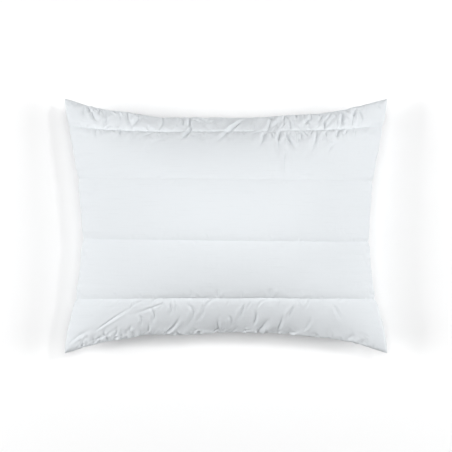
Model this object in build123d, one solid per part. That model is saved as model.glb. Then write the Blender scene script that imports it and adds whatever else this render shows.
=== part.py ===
from build123d import *

import os
from itertools import pairwise
from math import comb, cos, pi, sin

import numpy as np

# A quilted bed pillow, lying flat. Two quilted panels, each an outer fabric, a thin wadding and a backing
# held together by stitch lines, are sewn to each other along a knife edge round a loose fibre fill.
# +X runs along the long edges, +Y from the front edge to the back edge, +Z up.
# The origin is on the ground, under the middle of the pillow. All sizes are in millimetres.

# Driving dimensions: a panel as cut
CUT_WIDTH = 508.0  # from the front seam to the back seam with the empty cover laid flat
QUILT_LINES = 4
QUILT_PITCH = 114.0  # between neighbouring quilt lines, on the flat panel
BACK_MARGIN = 55.0  # from the back seam to the first quilt line, on the flat panel

# Driving dimensions: the filled pillow
TIP_LENGTH = 626.0  # corner tip to corner tip along X
TIP_WIDTH = 495.0  # corner tip to corner tip along Y
SIDE_PULL = 36.0  # how far the middle of a short edge draws in
EDGE_PULL = 40.0  # how far the middle of a long edge draws in
CROWN_HEIGHT = 166.0  # top of the crown above the ground
SEAM_HEIGHT = 66.0  # perimeter seam above the ground at the middle of an edge
CORNER_DROOP = 20.0  # how much lower the seam is at the corner tips
REST_SHARE = 0.62  # share of the panel, each way, that lies flat on the ground

# Layers, each with its thickness, and the gap between neighbours
FABRIC = 0.8
WADDING = 6.0
BACKING = 0.6
LAYER_GAP = 0.4
TOP_PINCH = 4.5  # how deep a quilt line draws the upper fabric down
REST_PINCH = 2.0  # how deep a quilt line draws the flattened lower fabric in
REST_GROOVE = 9.0  # half width of a quilt groove where the panel is pressed flat

# Threads
THREAD_HEIGHT = 0.5
THREAD_WIDTH = 1.0
THREAD_GAP = 0.4  # between a stitch line and the fabric it lies on
THREAD_END = 0.975  # share of the panel that a thread spans
SEAM_GAP = 0.6  # half the gap along the edge between the two covers, which holds the seam thread
SEAM_THREAD_INSET = 0.1
CLOSING_START = -0.86  # the hand closing of the filling opening, as shares of the half length
CLOSING_END = -0.50
CLOSING_PLACE = -0.985  # as a share of the half width

# How the filled surface curves
BULGE_ANGLE = 1.4  # half the angle that a section's arc turns through, in radians
SIDE_POWER = 1.4  # how evenly a short edge's pull spreads towards the corners
EDGE_POWER = 1.2  # the same for a long edge
DROOP_POWER = 4
DEGREE = 9  # of every patch, along both of its directions
FLAT = 1e-6  # a patch with less height than this is a plane

HALF_TIP_X = TIP_LENGTH / 2
HALF_TIP_Y = TIP_WIDTH / 2
HALF_CUT = CUT_WIDTH / 2
LINES = [1 - (BACK_MARGIN + k * QUILT_PITCH) / HALF_CUT for k in range(QUILT_LINES)]
TOP_REACH = QUILT_PITCH / 2 / HALF_CUT
REST_REACH = REST_GROOVE / HALF_CUT
COLUMNS = [-1.0, -REST_SHARE, REST_SHARE, 1.0]
THREAD_COLUMNS = [-THREAD_END, -REST_SHARE, REST_SHARE, THREAD_END]
WADDING_INSET = FABRIC + LAYER_GAP
BACKING_INSET = WADDING_INSET + WADDING + LAYER_GAP
FILL_INSET = BACKING_INSET + BACKING + LAYER_GAP


# ---------------------------------------------------------------- the pillow's form
# s and t are shares of the flat panel's half length and half width, from -1 to 1.


def arc_place(share):
    """Place across a section of the point at that share of its arc, from -1 to 1."""
    return np.sin(share * BULGE_ANGLE) / sin(BULGE_ANGLE)


def arc_height(share):
    """Height above the section's chord at that share of its arc: 1 in the middle, 0 at the ends."""
    return (np.cos(share * BULGE_ANGLE) - cos(BULGE_ANGLE)) / (1 - cos(BULGE_ANGLE))


def rest_height(share):
    """How far down the lower panel is: 1 where it lies flat, then a parabola to 0 at the seam."""
    beyond = np.maximum(np.abs(share) - REST_SHARE, 0) / (1 - REST_SHARE)
    return 1 - beyond**2


def pinch(t, reach):
    """1 on a quilt line, falling as a parabola to 0 at reach on either side of it."""
    nearest = np.min([np.abs(t - line) for line in LINES], axis=0)
    return np.maximum(1 - nearest / reach, 0) ** 2


def plan_place(s, t, inset):
    """X and Y of a point of a layer that lies that far inside the outer face."""
    side_pull = SIDE_PULL * (1 - t**2) ** SIDE_POWER
    edge_pull = EDGE_PULL * (1 - np.abs(s) ** 3) ** EDGE_POWER
    half_length = HALF_TIP_X - side_pull - inset
    half_width = HALF_TIP_Y - edge_pull - inset
    return half_length * arc_place(s), half_width * arc_place(t)


def seam_height(x, y):
    """Height of the surface that all the edges lie in, which droops towards the corner tips."""
    return SEAM_HEIGHT - CORNER_DROOP * (x * y / (HALF_TIP_X * HALF_TIP_Y)) ** DROOP_POWER


def upper_point(s, t, inset):
    """A point of the upper panel: the seam's height plus a crown that falls to nothing at the edges."""
    x, y = plan_place(s, t, inset)
    crown = CROWN_HEIGHT - SEAM_HEIGHT - SEAM_GAP - inset
    z = seam_height(x, y) + SEAM_GAP + crown * arc_height(s) * arc_height(t)
    return np.stack([x, y, z], axis=-1)


def lower_point(s, t, inset):
    """A point of the lower panel: flat on the ground in the middle, and up to the seam at the edges."""
    x, y = plan_place(s, t, inset)
    seam = seam_height(x, y) - SEAM_GAP
    z = seam - (seam - inset) * rest_height(s) * rest_height(t)
    return np.stack([x, y, z], axis=-1)


def seam_point(x_end, y_end, height):
    """A point in the seam's gap, as a function of the share along the edge and the inset from it."""

    def place(along, inset):
        s = along if x_end == 0 else np.full_like(along, x_end)
        t = along if y_end == 0 else np.full_like(along, y_end)
        x, y = plan_place(s, t, inset)
        return np.stack([x, y, seam_height(x, y) + height], axis=-1)

    return place


# ---------------------------------------------------------------- solids from surfaces


def nodes_between(start, end):
    """Places for DEGREE + 1 samples between start and end, closer together near both."""
    return start + (end - start) * (1 - np.cos(np.arange(DEGREE + 1) * pi / DEGREE)) / 2


def bernstein(share):
    """The Bernstein polynomials of that degree at a place from 0 to 1."""
    return [comb(DEGREE, k) * share**k * (1 - share) ** (DEGREE - k) for k in range(DEGREE + 1)]


TO_CONTROLS = np.linalg.inv(np.array([bernstein(share) for share in nodes_between(0.0, 1.0)]))


def control_net(surface, s_span, t_span):
    """Bezier control points of the patch that passes through the surface's samples on those spans."""
    s, t = np.meshgrid(nodes_between(*s_span), nodes_between(*t_span), indexing="ij")
    net = np.einsum("ij,jkc->ikc", TO_CONTROLS, surface(s, t))
    return np.einsum("kl,ilc->ikc", TO_CONTROLS, net)


def face_of(net):
    """The face of a net of control points, which is a true plane where the net is flat."""
    if np.ptp(net[..., 2]) > FLAT:
        return Face.make_bezier_surface([[Vector(*point) for point in row] for row in net])
    borders = [net[0], net[:, -1], net[-1][::-1], net[:, 0][::-1]]
    edges = [Edge.make_bezier(*[Vector(*point) for point in border]) for border in borders]
    return Face(Wire(edges))


def solid_between(first, second, columns, rows):
    """The solid between two surfaces of s and t: patches of both, and a rim that joins their borders."""
    faces = []
    for s_span in pairwise(columns):
        for t_span in pairwise(rows):
            nets = [control_net(surface, s_span, t_span) for surface in (first, second)]
            borders = [
                (s_span[0] == columns[0], (0, slice(None))),
                (s_span[1] == columns[-1], (-1, slice(None))),
                (t_span[0] == rows[0], (slice(None), 0)),
                (t_span[1] == rows[-1], (slice(None), -1)),
            ]
            faces += [face_of(net) for net in nets]
            faces += [face_of(np.stack([net[side] for net in nets])) for outer, side in borders if outer]
    return Solid(Shell(faces))


# ---------------------------------------------------------------- the pieces


def rows_for(reach):
    """Where patches meet across a panel: its edges, the flat part's limits, and each groove."""
    grooves = [line + side * reach for line in LINES for side in (-1, 0, 1)]
    inside = [row for row in [*grooves, -REST_SHARE, REST_SHARE] if abs(row) < 1]
    return list(np.unique(np.round([-1.0, 1.0, *inside], 6)))


def layer_face(point, reach, inset, depth):
    """A face of one layer: inset all over, and by depth more on a quilt line."""
    return lambda s, t: point(s, t, inset + depth * pinch(t, reach))


def make_panel(side, point, reach, depth):
    """One quilted panel's fabric, wadding and backing. The wadding thins out on the quilt lines."""
    layers = {
        "cover": ((0, depth), (FABRIC, depth)),
        "wadding": ((WADDING_INSET, depth), (WADDING_INSET + WADDING, 0)),
        "backing": ((BACKING_INSET, 0), (BACKING_INSET + BACKING, 0)),
    }
    for name, (outer, inner) in layers.items():
        faces = [layer_face(point, reach, *place) for place in (outer, inner)]
        save(f"{side}_{name}", solid_between(*faces, COLUMNS, rows_for(reach)))


def make_quilt_stitches(side, point, depth):
    """The stitch lines of one panel, each a flat thread along the bottom of its groove."""
    inner = depth - THREAD_GAP
    outer = inner - THREAD_HEIGHT
    half_width = THREAD_WIDTH / 2 / HALF_CUT
    for number, line in enumerate(LINES, start=1):
        faces = [lambda s, t, inset=inset: point(s, t, inset) for inset in (outer, inner)]
        rows = [line - half_width, line + half_width]
        save(f"{side}_quilt_stitch_{number}", solid_between(*faces, THREAD_COLUMNS, rows))


def make_edge_seams():
    """The four seam threads, one along each edge, in the gap between the two covers."""
    edges = {"left": (-1, 0), "right": (1, 0), "front": (0, -1), "back": (0, 1)}
    rows = [SEAM_THREAD_INSET, SEAM_THREAD_INSET + THREAD_WIDTH]
    for name, ends in edges.items():
        faces = [seam_point(*ends, half * THREAD_HEIGHT / 2) for half in (1, -1)]
        save(f"{name}_edge_seam", solid_between(*faces, THREAD_COLUMNS, rows))


def make_closing_seam():
    """The short topstitched line beside the front edge that closes the filling opening."""
    half_width = THREAD_WIDTH / 2 / HALF_CUT
    insets = (-THREAD_GAP - THREAD_HEIGHT, -THREAD_GAP)
    faces = [lambda s, t, inset=inset: upper_point(s, t, inset) for inset in insets]
    rows = [CLOSING_PLACE - half_width, CLOSING_PLACE + half_width]
    save("closing_seam", solid_between(*faces, [CLOSING_START, CLOSING_END], rows))


def make_fill():
    """The loose fibre that fills the space inside both backings."""
    faces = [lambda s, t, point=point: point(s, t, FILL_INSET) for point in (upper_point, lower_point)]
    save("fibre_fill", solid_between(*faces, COLUMNS, COLUMNS))


def save(node, solid):
    """Write one piece under its own name."""
    export_step(solid, f"parts/{node}.step")


os.makedirs("parts", exist_ok=True)
make_panel("upper", upper_point, TOP_REACH, TOP_PINCH)
make_panel("lower", lower_point, REST_REACH, REST_PINCH)
make_quilt_stitches("upper", upper_point, TOP_PINCH)
make_quilt_stitches("lower", lower_point, REST_PINCH)
make_edge_seams()
make_closing_seam()
make_fill()
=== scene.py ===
"""A quilted bed pillow: cotton covers over wadding and loose fibre, with its stitching and its stage."""

import math

import bpy
import numpy as np
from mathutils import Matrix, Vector


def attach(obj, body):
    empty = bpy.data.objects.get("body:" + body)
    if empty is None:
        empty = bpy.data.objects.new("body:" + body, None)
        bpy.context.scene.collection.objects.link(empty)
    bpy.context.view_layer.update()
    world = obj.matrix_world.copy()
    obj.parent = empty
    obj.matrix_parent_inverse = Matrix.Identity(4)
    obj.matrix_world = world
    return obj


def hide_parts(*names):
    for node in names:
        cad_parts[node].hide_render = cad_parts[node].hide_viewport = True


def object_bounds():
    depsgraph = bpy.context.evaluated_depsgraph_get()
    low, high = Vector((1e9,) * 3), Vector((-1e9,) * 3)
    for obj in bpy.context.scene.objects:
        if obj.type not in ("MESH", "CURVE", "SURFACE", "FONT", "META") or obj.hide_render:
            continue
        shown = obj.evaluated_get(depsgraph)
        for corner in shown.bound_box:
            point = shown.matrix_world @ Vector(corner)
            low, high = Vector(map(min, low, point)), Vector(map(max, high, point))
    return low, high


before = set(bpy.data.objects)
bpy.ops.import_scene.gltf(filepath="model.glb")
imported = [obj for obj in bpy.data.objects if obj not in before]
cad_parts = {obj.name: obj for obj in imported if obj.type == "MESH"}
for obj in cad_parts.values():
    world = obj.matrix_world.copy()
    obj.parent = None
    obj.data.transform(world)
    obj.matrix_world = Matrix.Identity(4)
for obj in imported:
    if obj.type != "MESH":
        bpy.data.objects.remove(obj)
CAD_LOW, CAD_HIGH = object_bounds()

bl_info = {
    "name": "Quilted bed pillow",
    "version": (1, 0, 0),
    "blender": (4, 5, 0),
    "location": "3D View > Sidebar > Pillow",
    "description": "Makes a quilted bed pillow and its stage around the packed frame",
    "category": "Object",
}

BODY = "root"

# ---------------------------------------------------------------- the pillow's fixed proportions
QUILT_LINES = 4
EDGE_PULL = 0.040  # draw-in at the middle of a long edge
SIDE_PULL = 0.036  # draw-in at the middle of a short edge
EDGE_POWER = 1.2
SIDE_POWER = 1.4
CORNER_DROOP = 0.020
DROOP_POWER = 4
LENGTH_BULGE = 0.20  # how far the cloth's place runs ahead of its share, along X
WIDTH_BULGE = 0.295  # the same along Y
ROUND = 0.90  # share of a full half ellipse that a section of the crown takes up
CORNER_FILL = 0.8  # 0 for thin corners, 1 for full ones
REST_SHARE = 0.60  # share of the underside, each way, that lies flat
LINE_DEPTHS = [0.0046, 0.0014, 0.0040, 0.0042]  # of the four quilt grooves, back to front
GROOVE_SHARP = 0.0045  # reach of a groove's crease
GROOVE_WIDE = 0.020  # reach of the soft valley round it
NOTCH = 0.0022  # how far a quilt line draws the short edge in
NOTCH_REACH = 0.009
LIP = 0.0034  # half thickness of the rolled edge
LIP_SIZE = 0.0032  # how fast the roll rises from the seam
TIP_ROLL = 1.5  # how much thicker the front left tip is rolled
TIP_REACH = 0.028
SEAM_INSET = 0.0013  # how deep the seam lies between the two covers' edges
SEAM_SIZE = 0.0014
FABRIC = 0.0005
FABRIC_RAMP = (-0.0006, 0.004)  # its thickness grows over this stretch in from the edge
WADDING = 0.006
BACKING = 0.0006
LOWER_QUILTING = 0.6  # depth of the underside's quilting, as a share of the top's

# Where the edges wander from the even outline: places (shares of the edge) and shifts outwards.
BACK_WANDER = ([-1, -0.79, -0.585, -0.36, -0.22, 0.17, 0.395, 0.62, 0.80, 1],
               [0, 0, 0.0029, -0.0016, 0.0012, 0.0013, 0.0035, 0.0012, 0.0022, 0])
FRONT_WANDER = ([-1, -0.79, -0.553, -0.498, -0.22, 0, 0.25, 0.51, 0.713, 0.88, 1],
                [0, -0.0011, 0.0010, -0.0030, 0.0022, -0.0028, -0.0030, 0.0003, -0.0023, -0.0020, 0])
LEFT_WANDER = ([-1, -0.935, -0.73, -0.5, -0.24, -0.08, 0.15, 0.46, 0.775, 1],
               [0, 0.0018, 0, -0.0006, -0.0004, -0.0010, 0.0035, 0.0034, 0.0012, 0])
RIGHT_WANDER = ([-1, -0.97, -0.815, -0.507, -0.12, 0.355, 0.645, 1],
                [0, 0.0002, 0.0010, -0.0031, -0.0006, 0.0015, 0.0012, -0.0008])
# How far the quilt lines wander from even spacing: front edge, the four lines front to back, back edge.
LINE_SHIFT = [0, 0.0028, 0.0032, 0.0006, 0, 0]
LINE_TILT = [0, 0, -0.0030, -0.0035, 0.0005, 0]
SCALLOP = 0.0007  # how far small puckers move the edge
SCALLOP_SIZE = 0.009
EDGE_HALF = 0.3  # half an edge, rounded: it turns a share of an edge into metres
EDGE_FADE = 0.007  # within this of an edge the relief fades to nothing

# ---------------------------------------------------------------- meshes' spacings, metres on the flat panel
UPPER_SPACING = ((0.0008, 0.0015, 0.006), (0.0008, 0.0023, 0.055))
LOWER_SPACING = ((0.0012, 0.0034, 0.014), (0.0012, 0.0036, 0.018))
LAYER_SPACING = (0.0060, 0.0075, 0.03)
LAYER_SHARE = 0.95  # the layers stop this share of the way to the seam
LAYER_CORNER = 0.12  # and this much earlier at the corners
LAYER_ROOM = 0.010
LAYER_GAP = 0.0004
COVER_GAP = 0.0090

# ---------------------------------------------------------------- closing and puckers
CLOSING_SPAN = (-0.86, -0.50)  # shares of the half length
CLOSING_LINE = -0.985
CLOSING_WAVE = 0.0145
CLOSING_REACH = 0.007
CLOSING_DEPTH = 0.0016
SIDE_PUCKERS = 0.28
SIDE_REACH = 0.15  # the short edges' puckers end this far in
# Seeds of a panel's puckers, of its short edges' puckers, of its creases and of its swell.
PANEL_SEEDS = {1: (100, 300, 41, 900), -1: (500, 700, 39, 950)}

# ---------------------------------------------------------------- cloth simulation
SIM_CELL = 0.0045
SIM_FRAMES = 12
SIM_GROWTH = 0.075
SIM_REACH = 0.035
SIM_HOLD = 0.5
SIM_START = 0.0006  # unevenness that the wrinkles start from
SIM_FOLD = 0.6  # share of the folds' depth that the wrinkles start from
SIM_CAP = 0.008  # no point moves further
SIM_SLACK = np.array([0.45, 0.35, 0.05, 0.05, 0.08, 0.45])  # back edge, the quilt lines, front edge
SIM_SIDE_SLACK = 0.25
SIM_CLOTH = {
    "quality": 6,
    "mass": 0.011,
    "tension_stiffness": 30,
    "compression_stiffness": 30,
    "shear_stiffness": 7.5,
    "bending_stiffness": 10,
    "tension_damping": 5,
    "compression_damping": 5,
    "shear_damping": 5,
    "bending_damping": 0.5,
    "air_damping": 1,
    "use_pressure": True,
    "uniform_pressure_force": 1,
    "pin_stiffness": 0.3,
}

# ---------------------------------------------------------------- cloth and stage
WARP_PITCH = 0.00062
WEFT_PITCH = 0.00056
TWIST_PITCH = 0.0006  # of the thread's plies
FLOOR_Z = -0.0004
FLOOR_HALF = 1.6
FLOOR_FADE = (0.65, 1.55)  # the floor fades out between these radii
# Area lamps that point at the origin: place, size and watts.
LAMPS = {
    "overhead": ((0, 0.35, 2.9), 1.5, 36.5),
    "right": ((2.2, 0, 1.3), 1.0, 30),
    "left": ((-2.2, 0, 1.3), 1.0, 37.5),
    "key": ((1.2, 0.6, 2.1), 0.25, 9.5),
}
WORLD_COLOUR = (0.97, 0.985, 1.0)
WORLD_STRENGTH = 0.06  # of the light that reaches the pillow
BACKDROP_STRENGTH = 0.85  # of the surround as it is seen
CAMERA_LENS = 100
CAMERA_SENSOR = 36
CAMERA_FIELD = 0.869  # width that the view takes in at the seam's height
CAMERA_PLANE = 0.066


# ---------------------------------------------------------------- sizes and colours a user would change


def length(name, description, default):
    """A length that a user can change, in metres."""
    return bpy.props.FloatProperty(name=name, description=description, default=default, unit="LENGTH")


def colour(name, description, default):
    """A colour that a user can change."""
    return bpy.props.FloatVectorProperty(
        name=name, description=description, default=default, subtype="COLOR", size=3
    )


class PillowSizes(bpy.types.PropertyGroup):
    """Sizes of the cut cloth and of the filled pillow."""

    cut_length: length("Cut length", "Panel from side seam to side seam, flat", 0.660)
    cut_width: length("Cut width", "Panel from front seam to back seam, flat", 0.508)
    tip_length: length("Tip length", "Between corner tips, along X", CAD_HIGH.x - CAD_LOW.x)
    tip_width: length("Tip width", "Between corner tips, along Y", CAD_HIGH.y - CAD_LOW.y)
    crown_height: length("Crown height", "Top of the crown above the ground", CAD_HIGH.z)
    seam_height: length("Seam height", "Edge seam above the ground", 0.066)
    quilt_pitch: length("Quilt pitch", "Between quilt lines on the flat panel", 0.114)
    back_margin: length("Back margin", "Back seam to first quilt line, flat", 0.055)
    stitch_length: length("Stitch length", "One stitch with its gap", 0.0036)
    thread_radius: length("Thread radius", "Half the sewing thread's thickness", 0.0003)


class PillowColours(bpy.types.PropertyGroup):
    """Colours of the cloth, thread, padding and floor."""

    cloth: colour("Cloth", "Cotton cover", (0.758, 0.788, 0.812))
    thread: colour("Thread", "Sewing thread", (0.80, 0.83, 0.85))
    padding: colour("Padding", "Wadding and fibre", (0.80, 0.825, 0.84))
    floor: colour("Floor", "Studio floor", (0.95, 0.95, 0.95))


# ---------------------------------------------------------------- noise along a line


class Wander:
    """A smooth random curve of one number: random values one unit apart, joined by a smooth step."""

    def __init__(self, seed, count=256):
        self.values = np.random.default_rng(seed).uniform(-1.0, 1.0, count)

    def __call__(self, place):
        cell = np.floor(place).astype(int)
        share = place - cell
        share = share * share * (3 - 2 * share)
        first = self.values[cell % len(self.values)]
        second = self.values[(cell + 1) % len(self.values)]
        return first + (second - first) * share


def ramp(value, start, end):
    """0 before start, 1 after end, and a smooth step between."""
    share = np.clip((value - start) / (end - start), 0, 1)
    return share * share * (3 - 2 * share)


# ---------------------------------------------------------------- the filled form
# s and t are shares of a flat panel's half length and half width, from -1 to 1.


def wandering(share, points, seed):
    """An edge's shift outwards at a share of its length: joined points, rounded off, and small scallops."""
    places, shifts = points
    steps = np.linspace(-0.05, 0.05, 11)
    broad = np.mean([np.interp(share + step, places, shifts) for step in steps], axis=0)
    small = SCALLOP * Wander(seed)(share * EDGE_HALF / SCALLOP_SIZE)
    return (broad + small) * (1 - share**8)


class Form:
    """The filled pillow's two panels, as functions of s and t."""

    def __init__(self, sizes):
        self.half_length = sizes.tip_length / 2
        self.half_width = sizes.tip_width / 2
        self.cut = (sizes.cut_length / 2, sizes.cut_width / 2)
        self.seam = sizes.seam_height
        self.crown = sizes.crown_height - LIP
        margins = [sizes.back_margin + k * sizes.quilt_pitch for k in range(QUILT_LINES)]
        self.lines = [1 - margin / self.cut[1] for margin in margins]

    def line_distance(self, t):
        """Distance on the flat panel to each quilt line, stacked along a new first axis."""
        return np.stack([np.abs(t - line) * self.cut[1] for line in self.lines])

    def half_length_at(self, s, t):
        """Half length at t: drawn in between the corners, with a small notch at each quilt line."""
        pull = SIDE_PULL * (1 - t**2) ** SIDE_POWER
        notch = NOTCH * np.exp(-((self.line_distance(t) / NOTCH_REACH) ** 2)).sum(axis=0)
        shift = np.where(s < 0, wandering(t, LEFT_WANDER, 21), wandering(t, RIGHT_WANDER, 22))
        return self.half_length - pull - notch + shift

    def half_width_at(self, s, t):
        """Half width at s: drawn in between the corners."""
        pull = EDGE_PULL * (1 - np.abs(s) ** 3) ** EDGE_POWER
        shift = np.where(t < 0, wandering(s, FRONT_WANDER, 23), wandering(s, BACK_WANDER, 24))
        return self.half_width - pull + shift

    def place(self, s, t):
        """X, Y and their shares of the mid-sections. Lines bend outwards near the corners."""
        across = s * (1 + LENGTH_BULGE * (1 - s**2))
        along = t * (1 + WIDTH_BULGE * (1 - t**2))
        middle = self.half_length - SIDE_PULL
        x = middle * across + (self.half_length_at(s, t) - middle) * np.sign(s) * np.abs(s) ** 3
        middle = self.half_width - EDGE_PULL
        y = middle * along + (self.half_width_at(s, t) - middle) * np.sign(t) * np.abs(t) ** 5
        nodes = [-1, *self.lines[::-1], 1]
        y = y + np.interp(t, nodes, LINE_SHIFT) + s * np.interp(t, nodes, LINE_TILT)
        return x, y, across, along

    def seam_at(self, x, y):
        """Height of the surface that the edges lie in. It droops towards the corner tips."""
        return self.seam - CORNER_DROOP * (x * y / (self.half_length * self.half_width)) ** DROOP_POWER

    @staticmethod
    def dome(share):
        """Height of an ellipse's arc: 1 in the middle, 0 at the ends."""
        base = math.sqrt(1 - ROUND**2)
        return (np.sqrt(1 - (ROUND * share) ** 2) - base) / (1 - base)

    @staticmethod
    def crown_share(across, along):
        """Two sections' arcs together: their product, fuller at the corners by a power of their union."""
        union = np.maximum(across + along - across * along, 1e-6)
        return across * along / union**CORNER_FILL

    @staticmethod
    def rest(share):
        """How far the underside is down: 1 where it lies flat, then a parabola to 0 at the seam."""
        beyond = np.maximum(np.abs(share) - REST_SHARE, 0) / (1 - REST_SHARE)
        return 1 - beyond**2

    def point(self, s, t, side):
        """A point of the upper (side 1) or lower (side -1) panel, before quilting and puckers."""
        x, y, across, along = self.place(s, t)
        seam = self.seam_at(x, y)
        if side > 0:
            z = seam + (self.crown - self.seam) * self.crown_share(self.dome(across), self.dome(along))
        else:
            z = seam * (1 - self.rest(across) * self.rest(along))
        return np.stack([x, y, z], axis=-1)

    def groove(self, s, t):
        """Depth of the quilting: on each line a sharp crease in a soft valley, both fading exponentially."""
        uneven = [0.85 + 0.3 * Wander(60 + k)(s * 4) for k in range(QUILT_LINES)]
        depths = np.stack([depth * share for depth, share in zip(LINE_DEPTHS, uneven)])
        distance = self.line_distance(t)
        sharp, wide = np.exp(-distance / GROOVE_SHARP), np.exp(-((distance / GROOVE_WIDE) ** 1.5))
        return (depths * (0.5 * sharp + 0.5 * wide)).sum(axis=0)


# ---------------------------------------------------------------- puckers and folds
# A scale of puckers: wavelength along the seam, reach into the panel, height. Longer ones reach further.
PUCKER_SCALES = [(0.0105, 0.0045, 0.00085), (0.019, 0.010, 0.0010), (0.034, 0.022, 0.0012)]

# Puckers along the seams of a panel: the seam (0 back edge, 1 to 4 the quilt lines, 5 front edge), the side
# of it (1 back, -1 front), then places along X and the strength at each.
UPPER_SEAMS = [
    (0, -1, [-0.31, -0.24, -0.16, -0.12, 0.06, 0.10, 0.25, 0.31], [0.3, 1.0, 0.9, 0.3, 0.3, 1.1, 1.2, 0.3]),
    (1, 1, [-0.31, -0.25, -0.15, -0.10, 0.06, 0.10, 0.25, 0.31], [0.2, 0.7, 0.7, 0.2, 0.3, 1.1, 1.1, 0.2]),
    (1, -1, [-0.31, -0.25, -0.17, -0.10, 0.04, 0.09, 0.24, 0.31], [0.2, 0.8, 0.7, 0.4, 0.4, 1.3, 1.1, 0.2]),
    *((2, side, [-0.31, 0.31], [0.10, 0.14]) for side in (1, -1)),
    *((3, side, [-0.31, 0.31], [0.10, 0.12]) for side in (1, -1)),
    (4, 1, [-0.31, -0.12, 0.12, 0.31], [0.1, 0.25, 0.25, 0.1]),
    (4, -1, [-0.31, -0.15, 0.13, 0.20, 0.31], [0.1, 0.35, 0.35, 0.15, 0.1]),
    (5, 1, [-0.31, -0.24, -0.14, -0.10, 0.12, 0.31], [0.5, 1.3, 1.2, 0.6, 0.5, 0.4]),
]
LOWER_SEAMS = [
    (0, -1, [-0.31, -0.2, 0.1, 0.31], [0.4, 1.0, 0.7, 0.4]),
    *((1, side, [-0.31, 0.0, 0.31], [0.3, 0.8, 0.3]) for side in (1, -1)),
    *((seam, side, [-0.31, 0.31], [0.3, 0.3]) for seam in (2, 3) for side in (1, -1)),
    *((4, side, [-0.31, 0.0, 0.31], [0.3, 0.7, 0.3]) for side in (1, -1)),
    (5, 1, [-0.31, -0.2, 0.1, 0.31], [0.4, 1.0, 0.8, 0.4]),
]

# Small creases that start on a seam: the seam, the side of it, the stretch along X, how many, their length
# and depth, and how far they lean to +X, with its spread.
UPPER_CREASES = [
    (0, -1, -0.28, -0.16, 16, 0.024, 0.0022, 0.35, 0.5),
    (0, -1, -0.16, 0.06, 6, 0.020, 0.0010, -0.4, 0.5),
    (0, -1, 0.08, 0.27, 17, 0.034, 0.0022, -0.1, 0.30),
    (1, 1, -0.27, -0.10, 9, 0.018, 0.0016, 0.2, 0.3),
    (1, 1, -0.08, 0.07, 5, 0.012, 0.0010, 0.0, 0.5),
    (1, 1, 0.07, 0.26, 13, 0.028, 0.0018, 0.1, 0.30),
    (1, -1, -0.27, -0.10, 9, 0.017, 0.0014, -0.1, 0.4),
    (1, -1, -0.09, 0.05, 5, 0.014, 0.0009, -0.4, 0.4),
    (1, -1, 0.06, 0.25, 22, 0.034, 0.0018, -0.15, 0.30),
    *((2, side, -0.25, 0.27, 9, 0.010, 0.0005, 0.0, 0.5) for side in (1, -1)),
    *((3, side, -0.26, 0.26, 8, 0.009, 0.0005, 0.0, 0.5) for side in (1, -1)),
    (4, 1, -0.24, 0.24, 14, 0.012, 0.0006, 0.0, 0.5),
    (4, -1, -0.24, -0.10, 6, 0.024, 0.0008, -0.6, 0.4),
    (4, -1, -0.10, 0.16, 12, 0.024, 0.0011, -0.3, 0.3),
    (4, -1, 0.16, 0.28, 5, 0.010, 0.0007, 0.0, 0.4),
    (5, 1, -0.30, -0.15, 18, 0.022, 0.0014, 0.75, 0.45),
    (5, 1, -0.15, 0.12, 26, 0.024, 0.0018, 0.2, 0.45),
    (5, 1, 0.12, 0.30, 14, 0.013, 0.0010, 0.0, 0.5),
]
LOWER_CREASES = [
    (0, -1, -0.28, 0.28, 36, 0.022, 0.0014, 0.0, 0.5),
    *((1, side, -0.26, 0.26, 22, 0.016, 0.0010, 0.0, 0.5) for side in (1, -1)),
    (4, 1, -0.26, 0.26, 20, 0.014, 0.0009, 0.0, 0.5),
    (4, -1, -0.26, 0.26, 20, 0.016, 0.0010, 0.0, 0.5),
    (5, 1, -0.29, 0.28, 40, 0.022, 0.0015, 0.2, 0.5),
]

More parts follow.
